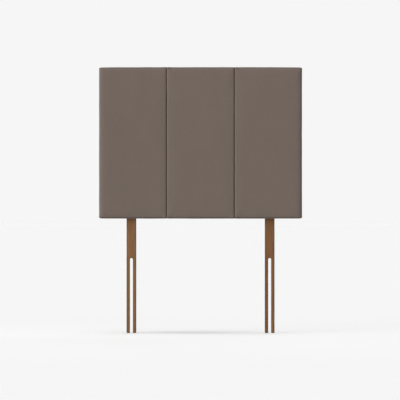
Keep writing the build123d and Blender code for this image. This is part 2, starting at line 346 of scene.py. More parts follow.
def pile_fabric(shade):
    """Soft short pile, faintly brushed and finely mottled.

    It is darker on the bottom and top rolls, partly as the pile opens and partly as painted shade, and
    at the corners as a painted fold shadow.
    """
    fabric = Finish("pile_fabric")

    def pile_open_and_painted_shade(distance, start, full, share):
        """How much the pile opens and painted shade darkens it, at a distance from where it turns."""
        return fabric.fade(distance, start, full) * share

    brushed = fabric.cloud(9, (1.0, 1.0, 0.6), detail=3, roughness=0.55, distortion=0.6)
    mottle = fabric.cloud(420, detail=4, roughness=0.7)
    grain = fabric.cloud(2100, detail=2, roughness=0.6)
    tone = fabric.fade(brushed * 0.14 + mottle * 0.5 + grain * 0.36, 0.3, 0.7)
    closed = fabric.mix(tone, tinted(shade, 0.85, 0.84, 0.83), tinted(shade, 1.12, 1.11, 1.10))
    to_bottom = fabric.along("Z") - PANEL_LOW.z
    to_top = PANEL_HIGH.z - fabric.along("Z")
    to_side = PANEL_HIGH.x - abs(fabric.along("X"))
    to_corner = fabric.math("MINIMUM", to_bottom, to_top) + to_side
    # Painted shade on the bottom and top rolls, partly standing for the pile opening there
    at_bottom = pile_open_and_painted_shade(to_bottom, start=0.008, full=0.003, share=0.85)
    at_top = pile_open_and_painted_shade(to_top, start=0.009, full=0.001, share=0.6)
    # Painted shadow of the cover's folds at the corners
    painted_corner_shadow = pile_open_and_painted_shade(to_corner, start=0.018, full=0.006, share=0.6)
    on_roll = fabric.fade(fabric.along("Y") - FRONT, 0.014, 0.004)
    opened_and_painted_shade = fabric.mix((at_bottom + at_top) * on_roll, closed, tinted(shade, 0.4))
    height = mottle * 0.6 + grain * 0.4
    return fabric.surface(
        Base_Color=fabric.mix(painted_corner_shadow * on_roll, opened_and_painted_shade, tinted(shade, 0.25)),
        Roughness=0.88 + brushed * 0.04,
        Specular_IOR_Level=0.22,
        Sheen_Weight=0.12,
        Sheen_Roughness=0.45,
        Sheen_Tint=four((1.0, 0.93, 0.86)),
        Normal=fabric.bump(height, 0.0005, 0.55),
    )


def dust_cloth(shade):
    """Thin bonded cloth, with its rows of small pressed points and tangled fibres."""
    cloth = Finish("dust_cloth")
    waves_a_metre = 350
    columns = cloth.math("SINE", cloth.along("X") * (math.tau * waves_a_metre))
    rows = cloth.math("SINE", cloth.along("Z") * (math.tau * waves_a_metre))
    points = cloth.fade(columns * rows, 0.35, 0.8)
    fibres = cloth.cloud(1300, (1.0, 1.0, 0.35), detail=4, roughness=0.75)
    patches = cloth.cloud(60, detail=3)
    tone = cloth.fade(fibres * 0.6 + patches * 0.4, 0.3, 0.7)
    between = cloth.mix(tone, tinted(shade, 0.7), tinted(shade, 1.7))
    return cloth.surface(
        Base_Color=cloth.mix(points * 0.5, between, tinted(shade, 0.55)),
        Roughness=0.82 - points * 0.2,
        Specular_IOR_Level=0.3,
        Normal=cloth.bump(fibres * 0.5 - points * 0.5, 0.0003, 0.6),
    )


def stained_wood(name, shade, drift, middle):
    """Stained, satin hardwood: its grain runs along it, and its edges, its foot and, low down, the left
    side of each strut are darker.

    A drift of the grain's scales gives each strut its own figure, and middle is its place across.
    """
    wood = Finish(name)
    across = wood.along("X") - middle
    height = wood.along("Z")
    streaks = wood.cloud(230 + drift, (1.0, 0.7, 0.045), detail=5, roughness=0.62, distortion=0.25)
    lines = wood.cloud(950 + drift, (1.0, 0.7, 0.02), detail=3, roughness=0.6)
    figure = wood.cloud(46 + drift, (1.0, 0.6, 0.16), detail=3, roughness=0.5, distortion=1.1)
    red = wood.fade(wood.cloud(17 + drift, (1.0, 1.0, 0.55), detail=2), 0.5, 0.72)
    pores = wood.fade(wood.cloud(1500 + drift, (1.0, 0.8, 0.035), detail=1), 0.62, 0.74)
    tone = wood.fade(streaks * 0.42 + lines * 0.22 + figure * 0.36, 0.3, 0.7)
    plain = wood.mix(tone, tinted(shade, 0.73, 0.72, 0.69), tinted(shade, 1.24, 1.26, 1.24))
    warmed = wood.mix(red * 0.5, plain, tinted(shade, 1.12, 1.0, 0.87))
    ragged = abs(across) + streaks * 0.003
    edge = wood.fade(ragged, STRUT_HALF - 0.006, STRUT_HALF + 0.0005)
    low_down = wood.fade(height, 0.36, 0.31)
    # Darker towards the left side of each strut, low down
    left_side_darker = wood.fade(streaks * 0.01 - across, 0.002, 0.014) * low_down
    foot = wood.fade(height, 0.012, 0.0)
    edged = wood.mix(edge * 0.5 + foot * 0.3 + left_side_darker * 0.22, warmed, tinted(shade, 0.52, 0.5, 0.48))
    return wood.surface(
        Base_Color=wood.mix(pores * 0.45, edged, tinted(shade, 0.42)),
        Roughness=0.44 + pores * 0.2 + lines * 0.1,
        Specular_IOR_Level=0.22,
        Coat_Weight=0.05,
        Coat_Roughness=0.35,
        Normal=wood.bump(lines * 0.5 - pores * 0.5, 0.00025, 0.5),
    )


def softwood(shade):
    """Planed pale softwood, with wide growth rings."""
    wood = Finish("softwood")
    rings = wood.node(
        "ShaderNodeTexWave",
        {"wave_type": "RINGS", "rings_direction": "Z"},
        {
            "Vector": wood.stretched((1.0, 1.0, 0.06)),
            "Scale": 42.0,
            "Distortion": 3.5,
            "Detail": 2.0,
            "Detail Scale": 1.4,
        },
    )
    fibres = wood.cloud(800, (1.0, 1.0, 0.03), detail=3)
    tone = wood.fade(rings * 0.6 + fibres * 0.4, 0.2, 0.85)
    return wood.surface(
        Base_Color=wood.mix(tone, tinted(shade, 1.08), tinted(shade, 0.78, 0.72, 0.67)),
        Roughness=0.62 + fibres * 0.15,
        Normal=wood.bump(fibres, 0.0002, 0.5),
    )


def pressed_fibres(name, shade, scale):
    """Board or card of pressed fibres, with a few dark specks."""
    board = Finish(name)
    fibres = board.cloud(scale, detail=5, roughness=0.75)
    specks = board.fade(board.cloud(scale * 3, detail=1), 0.62, 0.72)
    base = board.mix(board.fade(fibres, 0.3, 0.7), tinted(shade, 0.8), tinted(shade, 1.2))
    return board.surface(
        Base_Color=board.mix(specks * 0.5, base, tinted(shade, 0.5)),
        Roughness=0.6 + fibres * 0.2,
        Normal=board.bump(fibres, 0.0002, 0.4),
    )


def plated_steel(name, shade, scale):
    """Zinc-plated steel with faint spangle and dulled patches."""
    steel = Finish(name)
    spangle = steel.cloud(scale, detail=3, roughness=0.6)
    dull = steel.fade(steel.cloud(scale / 6, detail=2), 0.45, 0.7)
    base = steel.mix(steel.fade(spangle, 0.3, 0.7), tinted(shade, 0.82), tinted(shade, 1.12))
    return steel.surface(
        Base_Color=steel.mix(dull * 0.4, base, tinted(shade, 0.6)),
        Metallic=1.0,
        Roughness=0.26 + spangle * 0.12 + dull * 0.16,
        Normal=steel.bump(spangle, 0.0001, 0.3),
    )


def floor_finish(settings):
    """Pale floor that shows the object's shadow, adds a painted shadow below the panel and a painted
    pool of light in front, and shows as plain background elsewhere.
    """
    floor = Finish("studio_floor")
    seen = seen_directly(floor)
    tint = floor.mix(seen, (settings.floor_bounce,) * 3, (settings.floor_tint,) * 3)
    to_painted_pool = floor.reach((*settings.pool_place, 0), (settings.pool_reach,) * 3)
    to_painted_shadow = floor.reach((*settings.shade_place, 0), (*settings.shade_reach, 1))
    near = floor.fade(to_painted_pool, 1.0, 0.0)
    under = floor.fade(to_painted_shadow, 1.0, 0.0)
    lit = floor.node("ShaderNodeBsdfDiffuse", inputs={"Color": tint})
    # The floor's own glow, with the painted pool of light near and the painted shadow under the panel
    shine = (1.0 + near * settings.pool - under * settings.shade) * settings.backdrop
    own = floor.node("ShaderNodeEmission", inputs={"Color": shine, "Strength": 1.0})
    mixed = floor.node(
        "ShaderNodeMixShader", inputs={0: seen * settings.floor_share, 1: lit, 2: own}
    )
    floor.node("ShaderNodeOutputMaterial", inputs={"Surface": mixed})
    return floor.material


def seen_directly(nodes):
    """1 for rays from the camera, or through glass or off metal, and else 0."""
    camera, glossy, through = [
        nodes.node("ShaderNodeLightPath", output=name)
        for name in ("Is Camera Ray", "Is Glossy Ray", "Is Transmission Ray")
    ]
    return nodes.math("MAXIMUM", nodes.math("MAXIMUM", camera, glossy), through)


# Shapes

# Closer than these, in metres, two places are one, a place is on a plane, or a place is on an edge
SAME_PLACE = 1e-6
ON_PLANE = 1e-5
ON_EDGE = 0.0005

# Depth where the front's roll has turned into the wall, and depth that the whole front lies before
ROLLED = FRONT + 0.012
FRONT_ONLY = BOARD.y - 0.02

# Distances from a seam at which what is done beside it starts and ends, in metres
SEAM_REACH = 0.03
STRAY_END = (0.0, 0.02)
FLAT_END = (0.008, 0.02)
PUCKER_START = (0.001, 0.006)
PUCKER_END = (0.008, 0.026)
PULL_END = (0.0, 0.004)

# The same from the panel's ends and from the front, and how far the cover lifts and is drawn in
FALL_START = (0.0, 0.015)
FALL_END = (0.008, 0.024)
PUCKER = 0.00035
SEAM_PULL = 0.0007

# A folded layer: the width of its step and its slope to each side, its line's distance from the
# panel's end at the front and the back of a side wall, and how far it reaches over the back
STEP_WIDTH = 0.0014
STEP_SLOPE = (-0.0004, 0.0004)
PLEAT_FRONT = 0.0045
PLEAT_BACK = 0.0145
MITRE_REACH = 0.045


def smooth(value, start, end):
    """From 0 at start to 1 at end, smoothly."""
    t = min(1.0, max(0.0, (value - start) / (end - start)))
    return t * t * (3 - 2 * t)


def waver(x, y, z):
    """Smooth noise from about -1 to 1, whose waves are about 1 long in each value."""
    return noise.noise(Vector((x, y, z)))


def stations(low, high, first_gaps, last_gaps, cell):
    """Places from low to high: the given gaps at both ends, and even cells between."""
    places = [low]
    for gap in first_gaps:
        places.append(places[-1] + gap)
    tail = [high]
    for gap in last_gaps:
        tail.append(tail[-1] - gap)
    room = tail[-1] - places[-1]
    count = max(1, round(room / cell))
    start = places[-1]
    places += [start + room * i / count for i in range(1, count)]
    return places + tail[::-1]


def cut_box(across, deep, up):
    """A box with an edge loop at each of the given places on its three axes."""
    bm = bmesh.new()
    bmesh.ops.create_cube(bm, size=1)
    low = Vector((across[0], deep[0], up[0]))
    high = Vector((across[-1], deep[-1], up[-1]))
    bmesh.ops.scale(bm, vec=high - low, verts=bm.verts)
    bmesh.ops.translate(bm, vec=(low + high) / 2, verts=bm.verts)
    for axis, places in enumerate((across, deep, up)):
        normal = Vector([float(i == axis) for i in range(3)])
        for place in places[1:-1]:
            bmesh.ops.bisect_plane(
                bm,
                geom=bm.verts[:] + bm.edges[:] + bm.faces[:],
                dist=SAME_PLACE,
                plane_co=normal * place,
                plane_no=normal,
            )
    return bm


def in_scene(name, data):
    """A new object of the scene, with that data."""
    made = bpy.data.objects.new(name, data)
    bpy.context.scene.collection.objects.link(made)
    return made


def meshed(name, bm, material):
    """The shape as a mesh object, with its finish."""
    mesh = bpy.data.meshes.new(name)
    bm.to_mesh(mesh)
    bm.free()
    mesh.materials.append(material)
    return in_scene(name, mesh)


def finished(name, bm, material):
    """The shape as a smoothly shaded piece of the headboard, with its finish."""
    piece = meshed(name, bm, material)
    for polygon in piece.data.polygons:
        polygon.use_smooth = True
    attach(piece, BODY)
    return piece


def bake_modifiers(piece):
    """Keeps what the piece's modifiers make as its own mesh."""
    bpy.context.view_layer.update()
    graph = bpy.context.evaluated_depsgraph_get()
    mesh = bpy.data.meshes.new_from_object(piece.evaluated_get(graph))
    old = piece.data
    piece.modifiers.clear()
    piece.data = mesh
    bpy.data.meshes.remove(old)


def subdivide_once(piece):
    """Adds one level of Subdivision Surface, the same in the view and the render."""
    modifier = piece.modifiers.new("Subdivision", "SUBSURF")
    modifier.levels = modifier.render_levels = 1
    modifier.boundary_smooth = "PRESERVE_CORNERS"


class Channel:
    """One upright channel of the panel, between two places across, each an edge or a seam."""

    def __init__(self, low, high, settings):
        self.settings = settings
        self.low_edge = low < -SEAM
        self.high_edge = high > SEAM
        clear = 0.00015  # to the middle of the gap beside the next channel's cover
        self.low = low if self.low_edge else low + clear
        self.high = high if self.high_edge else high - clear

    def cage(self):
        """The cover's outer side as a coarse cage, open at the back and behind the seams."""
        s = self.settings
        turned = BOARD.x - PANEL_LOW.x + s.lap
        edge_gaps = (s.edge_cell, turned - s.edge_cell)
        seam_gaps = (s.seam_cell,)
        cell = 0.024
        back_turn = 0.004
        across = stations(
            self.low,
            self.high,
            edge_gaps if self.low_edge else seam_gaps,
            edge_gaps if self.high_edge else seam_gaps,
            cell,
        )
        up = stations(PANEL_LOW.z, PANEL_HIGH.z, edge_gaps, edge_gaps, cell)
        rolled = FRONT + s.roll_depth
        deep = [FRONT, rolled, (rolled + BOARD.y) / 2, BOARD.y, BACK - back_turn, BACK]
        bm = cut_box(across, deep, up)
        doomed = [face for face in bm.faces if self.is_open(face, turned)]
        bmesh.ops.delete(bm, geom=doomed, context="FACES")
        return bm

    def is_open(self, face, turned):
        """True for the faces where the cover has none: the back's middle, and behind a seam."""
        middle = face.calc_center_median()
        if middle.y > BACK - ON_PLANE:
            inside = PANEL_LOW.z + turned < middle.z < PANEL_HIGH.z - turned
            return inside and PANEL_LOW.x + turned < middle.x < PANEL_HIGH.x - turned
        at_low = not self.low_edge and middle.x < self.low + ON_PLANE
        at_high = not self.high_edge and middle.x > self.high - ON_PLANE
        return middle.y > BOARD.y and (at_low or at_high)

    def distances(self, place):
        """Distances from the channel's edges, from its seams, and from its bottom and top."""
        far = 1.0
        low, high = place.x - self.low, self.high - place.x
        edges = [low if self.low_edge else far, high if self.high_edge else far]
        seams = [far if self.low_edge else low, far if self.high_edge else high]
        return edges, seams, [place.z - PANEL_LOW.z, PANEL_HIGH.z - place.z]

    def crown(self, bm):
        """Lets the front fall slowly towards the panel's edges."""
        s = self.settings
        for vert in bm.verts:
            edges, seams, ends = self.distances(vert.co)
            fall = sum(s.edge_fall * max(0.0, 1 - d / s.edge_run) ** 2 for d in edges + ends)
            vert.co.y += fall * (1 - smooth(vert.co.y, ROLLED, BOARD.y))

    def held(self, place):
        """True where the cover is held by frame, board or the next channel."""
        board_grip = 0.004
        seam_grip = 0.001
        seam_start = 0.010
        seams = self.distances(place)[1]
        at_seam = min(seams) < seam_grip and place.y > FRONT + seam_start
        return place.y > BOARD.y - board_grip or at_seam


def keep_corners(piece, channel, tightness):
    """Keeps the cover full beside the seams' ends, and the panel's own corners tight."""
    attributes = piece.data.attributes
    creases = attributes.get("crease_edge") or attributes.new("crease_edge", "FLOAT", "EDGE")
    for edge in piece.data.edges:
        both = [channel.distances(piece.data.vertices[i].co) for i in edge.vertices]
        at_end = all(min(ends) < ON_EDGE for edges, seams, ends in both)
        at_seam = at_end and all(min(seams) < ON_EDGE for edges, seams, ends in both)
        at_edge = at_end and all(min(edges) < ON_EDGE for edges, seams, ends in both)
        creases.data[edge.index].value = 1.0 if at_seam else tightness * at_edge


def settle(piece, channel):
    """Lets the filling push the cover out from a slightly smaller start, as far as it may."""
    s = channel.settings
    mesh = piece.data
    goal = [vert.co.copy() for vert in mesh.vertices]
    loose = [not channel.held(place) for place in goal]
    inset_share = 0.4
    inset = s.swell * inset_share
    for vert, place, free in zip(mesh.vertices, goal, loose):
        if free:
            vert.co = place - vert.normal * inset
    start = [vert.co.copy() for vert in mesh.vertices]
    group = piece.vertex_groups.new(name="held")
    group.add([i for i, free in enumerate(loose) if not free], 1.0, "REPLACE")
    cloth = piece.modifiers.new("Cloth", "CLOTH")
    cloth.settings.quality = 5
    cloth.settings.mass = 0.3
    cloth.settings.tension_stiffness = 25
    cloth.settings.compression_stiffness = 25
    cloth.settings.shear_stiffness = 8
    cloth.settings.bending_stiffness = 1.5
    cloth.settings.use_pressure = True
    cloth.settings.uniform_pressure_force = s.pressure
    cloth.settings.vertex_group_mass = group.name
    cloth.settings.effector_weights.gravity = 0
    cloth.collision_settings.use_collision = False
    scene = bpy.context.scene
    for step in range(1, s.settle_frames + 1):
        scene.frame_set(step)
    graph = bpy.context.evaluated_depsgraph_get()
    reached = [vert.co.copy() for vert in piece.evaluated_get(graph).data.vertices]
    piece.modifiers.remove(cloth)
    piece.vertex_groups.remove(group)
    scene.frame_set(1)
    for vert, first, last in zip(mesh.vertices, start, reached):
        move = last - first
        if move.length > s.swell:
            move *= s.swell / move.length
        vert.co = first + move
        vert.co.x = min(channel.high, max(channel.low, vert.co.x))
        vert.co.z = min(PANEL_HIGH.z + s.wall_swell, max(PANEL_LOW.z - s.wall_swell, vert.co.z))


def seam_stray(up, settings):
    """How far a seam strays to the right at a height."""
    waves_a_metre = 38
    full = 1.6  # brings the noise's usual peaks up to about 1
    return settings.wander * full * waver(0.0, 3.1, up * waves_a_metre)


def front_level(bm, channel):
    """Depth of the settled front, a little way off the channel's seams and well off its edges."""
    depths = []
    for vert in bm.verts:
        edges, seams, ends = channel.distances(vert.co)
        off_edges = min(edges + ends) > 0.06
        if 0.02 < min(seams) < SEAM_REACH and off_edges and vert.co.y < FRONT_ONLY:
            depths.append(vert.co.y - FRONT)
    return sum(depths) / len(depths)


def dress_seams(bm, channel):
    """Lets the seams stray a little, puckers the cover beside them, and draws them in at the walls."""
    s = channel.settings
    level = front_level(bm, channel)
    for vert in bm.verts:
        place = vert.co
        edges, seams, ends = channel.distances(place)
        near = min(seams)
        if near > SEAM_REACH:
            continue
        side = 1 if place.x > 0 else -1
        place.x += seam_stray(place.z, s) * (1 - smooth(near, *STRAY_END))
        depth = place.y - FRONT
        shallow = 1 - smooth(depth, *FALL_END)
        rolled = max(0.0, depth - level) * (1 - s.seam_depth) * (1 - smooth(near, *FLAT_END))
        fall = s.seam_fall * math.exp(-near / s.seam_run) * smooth(min(ends), *FALL_START)
        place.y += (fall - rolled) * shallow
        if place.y < FRONT_ONLY:
            lift = waver(side * 2.0 + channel.low * 9, near * 30, place.z * 75)
            place.y += PUCKER * lift * smooth(near, *PUCKER_START) * (1 - smooth(near, *PUCKER_END))
        pull = SEAM_PULL * (1 - smooth(near, *PULL_END)) * smooth(place.y, ROLLED, FRONT + 0.02)
        if place.y > BACK - 0.002:
            place.y -= pull / 2
        elif place.z > PANEL_HIGH.z - 0.003:
            place.z -= pull
        elif place.z < PANEL_LOW.z + 0.003:
            place.z += pull


def crease(bm, chosen, point, across):
    """Two close edge loops through the chosen faces, beside a line, for a step in the cover."""
    for offset in (-STEP_WIDTH / 2, STEP_WIDTH / 2):
        faces = [face for face in bm.faces if chosen(face.calc_center_median())]
        edges = dict.fromkeys(edge for face in faces for edge in face.edges)
        verts = dict.fromkeys(vert for face in faces for vert in face.verts)
        bmesh.ops.bisect_plane(
            bm,
            geom=[*verts, *edges, *faces],
            dist=SAME_PLACE,
            plane_co=point + across * offset,
            plane_no=across,
        )


def fold_corners(bm, channel):
    """Folds the spare cloth at each corner: a pleat along the side wall, and a mitre on the back."""
    height = channel.settings.pleat
    for is_edge, side_x, out in (
        (channel.low_edge, channel.low, -1),
        (channel.high_edge, channel.high, 1),
    ):
        if not is_edge:
            continue
        for corner_z, up in ((PANEL_HIGH.z, 1), (PANEL_LOW.z, -1)):
            pleat_side(bm, Vector((side_x, 0, corner_z)), out, up, height)
            mitre_back(bm, Vector((side_x, BACK, corner_z)), out, up, height)


def pleat_side(bm, corner, out, up, height):
    """A folded layer on the side wall, along the corner's depth, wider towards the back."""
    start = Vector((corner.x, ROLLED, corner.z - up * PLEAT_FRONT))
    end = Vector((corner.x, BACK, corner.z - up * PLEAT_BACK))
    along = (end - start).normalized()
    across = Vector((0, -along.z, along.y)) * up
    on_side, cut_reach, cut_start = 0.002, 0.04, FRONT + 0.008
    lift_width, lift_reach, full_depth = 0.02, 0.03, FRONT + 0.034
    turn_end = (0.002, 0.012)

    def on_wall(place):
        near_side = abs(place.x - corner.x) < on_side
        return near_side and abs(place.z - corner.z) < cut_reach and place.y > cut_start

    crease(bm, on_wall, start, across)
    for vert in bm.verts:
        place = vert.co
        if abs(place.z - corner.z) > lift_reach or abs(place.x - corner.x) > lift_width:
            continue
        beyond = (place - start).dot(across)
        lift = smooth(beyond, *STEP_SLOPE) * smooth(place.y, ROLLED, full_depth)
        lift *= 1 - smooth(abs(place.x - corner.x), *turn_end)
        place.x += out * height * lift


def mitre_back(bm, corner, out, up, height):
    """A diagonal fold where the cover's turned edges meet at a corner of the back."""
    across = Vector((-out, 0, up)).normalized()
    back_faces = BACK - 0.001
    height_share = 0.8
    layer_end = (0.006, 0.02)
    fold_end = (0.011, 0.017)

    def on_back(place):
        off = place - corner
        return place.y > back_faces and abs(off.x) < MITRE_REACH and abs(off.z) < MITRE_REACH

    crease(bm, on_back, corner, across)
    for vert in bm.verts:
        off = vert.co - corner
        if vert.co.y < back_faces or max(abs(off.x), abs(off.z)) > MITRE_REACH:
            continue
        beyond = off.dot(across)
        lift = smooth(beyond, *STEP_SLOPE) * (1 - smooth(beyond, *layer_end))
        lift *= 1 - smooth(min(abs(off.x), abs(off.z)), *fold_end)
        vert.co.y += height * height_share * lift


def soften_walls(bm):
    """Faint waves in the cover where it turns round the panel's edges."""
    height = 0.0005
    for vert in bm.verts:
        place = vert.co
        behind_front = smooth(place.y, FRONT + 0.004, FRONT + 0.02)
        before_back = 1 - smooth(place.y, BACK - 0.012, BACK - 0.003)
        wave = height * waver(place.x * 16, place.y * 30, place.z * 16)
        vert.co += vert.normal * (wave * (behind_front * before_back))


def make_cover(name, low, high, settings, material):
    """One channel's padded cover, from its seams round the edges to its turned edge at the back."""
    channel = Channel(low, high, settings)
    bm = channel.cage()
    piece = finished(f"padded_cover_{name}", bm, material)
    keep_corners(piece, channel, tightness=settings.corner)
    subdivide_once(piece)
    bake_modifiers(piece)
    keep_corners(piece, channel, tightness=0)
    shaped = bmesh.new()
    shaped.from_mesh(piece.data)
    channel.crown(shaped)
    shaped.normal_update()
    shaped.to_mesh(piece.data)
    shaped.free()
    settle(piece, channel)
    subdivide_once(piece)
    bake_modifiers(piece)
    dressed = bmesh.new()
    dressed.from_mesh(piece.data)
    dressed.normal_update()
    soften_walls(dressed)
    dress_seams(dressed, channel)
    fold_corners(dressed, channel)
    dressed.normal_update()
    dressed.to_mesh(piece.data)
    dressed.free()
    subdivide_once(piece)
    skin = piece.modifiers.new("Skin", "SOLIDIFY")
    skin.thickness = settings.skin
    skin.offset = -1
    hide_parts(f"cover_{name}", f"wadding_{name}", f"foam_{name}")


def islands(node):
    """Lowest and highest corner of each separate solid in a CAD node, always in the same order."""
    bm = bmesh.new()
    bm.from_mesh(frame["nodes"][node].data)
    bmesh.ops.remove_doubles(bm, verts=bm.verts, dist=SAME_PLACE)
    met = set()
    found = []
    for first in bm.verts:
        if first in met:
            continue
        met.add(first)
        group = [first]
        for vert in group:
            joined = [edge.other_vert(vert) for edge in vert.link_edges]
            group += [other for other in joined if other not in met]
            met.update(joined)
        corners = [
            Vector([pick(vert.co[axis] for vert in group) for axis in range(3)])
            for pick in (min, max)
        ]
        found.append(corners)
    bm.free()
    return found


def flat_cloth(size, middle, cell):
    """A grid of about that cell, upright round its middle and facing backwards."""
    bm = bmesh.new()
    bmesh.ops.create_grid(
        bm, x_segments=round(size.x / cell), y_segments=round(size.z / cell), size=0.5
    )
    upright = Matrix.Rotation(math.pi / 2, 3, "X")
    bmesh.ops.scale(bm, vec=(size.x, size.z, 1), verts=bm.verts)
    bmesh.ops.rotate(bm, cent=(0, 0, 0), matrix=upright, verts=bm.verts)
    bmesh.ops.translate(bm, vec=middle, verts=bm.verts)
    bmesh.ops.recalc_face_normals(bm, faces=bm.faces)
    if bm.faces[:][0].normal.y < 0:
        bmesh.ops.reverse_faces(bm, faces=bm.faces)
    return bm


def staple_finder(node):
    """A search tree of the places of a node's staples, across and up."""
    staples = islands(node)
    tree = kdtree.KDTree(len(staples))
    for i, (low, high) in enumerate(staples):
        centre = (low + high) / 2
        tree.insert((centre.x, 0, centre.z), i)
    tree.balance()
    return tree


def ripples(x, z):
    """Long, slanting and short ripples of a stretched cloth, from about -1 to 1."""
    long = waver(x * 9, 1.7, z * 3.2)
    slanting = waver(x * 4 + z * 7, 8.3, z * 5 - x * 6)
    short = waver(x * 31, 4.4, z * 22)
    return 0.55 * long + 0.5 * slanting + 0.22 * short


def make_dust_cover(settings, material):
    """Thin cloth over the back: hemmed, stapled, flat under the struts and faintly rippled."""
    size = DUST_HIGH - DUST_LOW
    middle = (DUST_LOW + DUST_HIGH) / 2
    middle.y = DUST_HIGH.y - settings.thickness / 2
    hem_height = 0.00022
    hem_edge = 0.001
    puff_height = 0.0005
    bm = flat_cloth(size, middle, cell=0.006)
    tree = staple_finder("dust_cover_staples")
    for vert in bm.verts:
        place = vert.co
        to_edge = min(
            place.x - DUST_LOW.x, DUST_HIGH.x - place.x, place.z - DUST_LOW.z, DUST_HIGH.z - place.z
        )
        to_staple = tree.find((place.x, 0, place.z))[2]
        to_strut = max(abs(abs(place.x) - STRUT_MIDDLE) - STRUT_HALF, place.z - STRUT_HIGH.z)
        off_strut = smooth(to_strut, 0.0, 0.02)
        calm = smooth(to_staple, 0.004, 0.05) * off_strut
        lift = settings.ripple * ripples(place.x, place.z) * calm * smooth(to_edge, 0.0, 0.06)
        puff = puff_height * smooth(to_staple, 0.008, 0.024) * (1 - smooth(to_edge, 0.012, 0.05))
        inside_hem = smooth(to_edge, settings.hem - hem_edge, settings.hem + hem_edge)
        place.y += lift + puff * off_strut - hem_height + hem_height * (1 - inside_hem)
    piece = finished("dust_cover_cloth", bm, material)
    skin = piece.modifiers.new("Thickness", "SOLIDIFY")
    skin.thickness = settings.thickness
    skin.offset = 0
    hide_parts("dust_cover")


def placed_copies(shape, places):
    """The shape copied to each place, with its own Z turned to the back of the headboard."""
    unit = bpy.data.meshes.new("unit")
    shape.to_mesh(unit)
    shape.free()
    turned = Matrix.Rotation(-math.pi / 2, 4, "X")
    bm = bmesh.new()
    for place in places:
        copy = unit.copy()
        copy.transform(Matrix.Translation(place) @ turned)
        bm.from_mesh(copy)
        bpy.data.meshes.remove(copy)
    bpy.data.meshes.remove(unit)
    return bm


def drawn_out(bm, ring, radius=None, height=None):
    """A new ring of edges, drawn out of a ring to a radius, a height or both."""
    drawn = bmesh.ops.extrude_edge_only(bm, edges=ring)["geom"]
    for vert in drawn:
        if isinstance(vert, bmesh.types.BMVert):
            if radius is not None:
                vert.co.xy = vert.co.xy.normalized() * radius
            if height is not None:
                vert.co.z = height
    return [item for item in drawn if isinstance(item, bmesh.types.BMEdge)]


def make_bolts(settings, material):
    """Hexagon bolts: a chamfered head over the washer, and a shank into the nut."""
    solids = islands("strut_bolts")
    low, high = solids[0]
    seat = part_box("strut_washers")[1].y
    head = high.y - seat
    widths = sorted((high.x - low.x, high.z - low.z))
    corner = widths[1] / 2
    land = widths[0] / 2 * settings.land_share
    sides = 6
    chamfer = math.tan(math.radians(30))
    bm = bmesh.new()
    ring = bmesh.ops.create_circle(bm, segments=sides, radius=corner)["verts"]
    if high.x - low.x < high.z - low.z:
        turn = Matrix.Rotation(math.pi / sides, 3, "Z")
        bmesh.ops.rotate(bm, cent=(0, 0, 0), matrix=turn, verts=ring)
    bmesh.ops.subdivide_edges(bm, edges=bm.edges[:], cuts=5)
    rim = bm.edges[:]
    for vert in bm.verts:
        vert.co.z = head - (vert.co.xy.length - land) * chamfer
    top = drawn_out(bm, rim, radius=land, height=head)
    foot = drawn_out(bm, rim, height=0)
    neck = drawn_out(bm, foot, radius=settings.shank)
    tip = drawn_out(bm, neck, height=low.y - seat)
    for ring in (top, tip):
        bmesh.ops.contextual_create(bm, geom=ring)
    bmesh.ops.recalc_face_normals(bm, faces=bm.faces)
    places = [((a.x + b.x) / 2, seat, (a.z + b.z) / 2) for a, b in solids]
    piece = finished("hexagon_bolts", placed_copies(bm, places), material)
    keep_sharp(piece)
    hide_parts("strut_bolts")


def keep_sharp(piece):
    """Keeps the smooth shading off edges that turn by more than 25 degrees."""
    piece.data.set_sharp_from_angle(angle=math.radians(25))


def make_washers(settings, material):
    """Round washers with eased edges, between bolt heads and struts."""
    solids = islands("strut_washers")
    low, high = solids[0]
    radius = (high.x - low.x) / 2
    hole = settings.washer_hole
    thick = high.y - low.y
    bm = bmesh.new()
    bmesh.ops.create_circle(bm, segments=4, radius=math.sqrt(0.5))
    for turn in (Matrix.Rotation(math.pi / 4, 3, "Z"), Matrix.Rotation(math.pi / 2, 3, "X")):
        bmesh.ops.rotate(bm, cent=(0, 0, 0), matrix=turn, verts=bm.verts)
    bmesh.ops.scale(bm, vec=(radius - hole, 1, thick), verts=bm.verts)
    bmesh.ops.translate(bm, vec=((radius + hole) / 2, 0, thick / 2), verts=bm.verts)
    bmesh.ops.bevel(
        bm,
        geom=bm.verts[:],
        offset=settings.washer_edge,
        affect="VERTICES",
        segments=3,
        profile=0.5,
        material=-1,
    )
    bmesh.ops.spin(
        bm,
        geom=bm.verts[:] + bm.edges[:],
        cent=(0, 0, 0),
        axis=(0, 0, 1),
        angle=math.tau,
        steps=48,
        use_merge=True,
    )
    bmesh.ops.remove_doubles(bm, verts=bm.verts, dist=SAME_PLACE)
    bmesh.ops.recalc_face_normals(bm, faces=bm.faces)
    places = [((a.x + b.x) / 2, a.y, (a.z + b.z) / 2) for a, b in solids]
    piece = finished("plate_washers", placed_copies(bm, places), material)
    keep_sharp(piece)
    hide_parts("strut_washers")


def dress_node(node, material):
    """Gives a CAD node its finish."""
    piece = frame["nodes"][node]
    if not piece.material_slots:
        raise RuntimeError(f"{node} has no material slot")
    for slot in piece.material_slots:
        slot.material = material


# Studio

# Half the floor's width, how far it lies under the struts' feet, how far off the lamps stand, and
# how far the camera sees, in metres
FLOOR_REACH = 60
FLOOR_DROP = 0.0003
LAMP_DISTANCE = 3
VIEW_REACH = 200

# Each lamp's name, the setting that gives its strength, its spread in degrees, and its direction
LAMPS = (
    ("key_lamp", "key", 40, (-0.85, -0.52, 0.08)),
    ("top_lamp_left", "top", 32, (-0.12, -0.08, 1.0)),
    ("top_lamp_right", "top", 32, (0.12, -0.08, 1.0)),
    ("rear_lamp", "rear", 80, (0.42, 0.85, 0.25)),
)


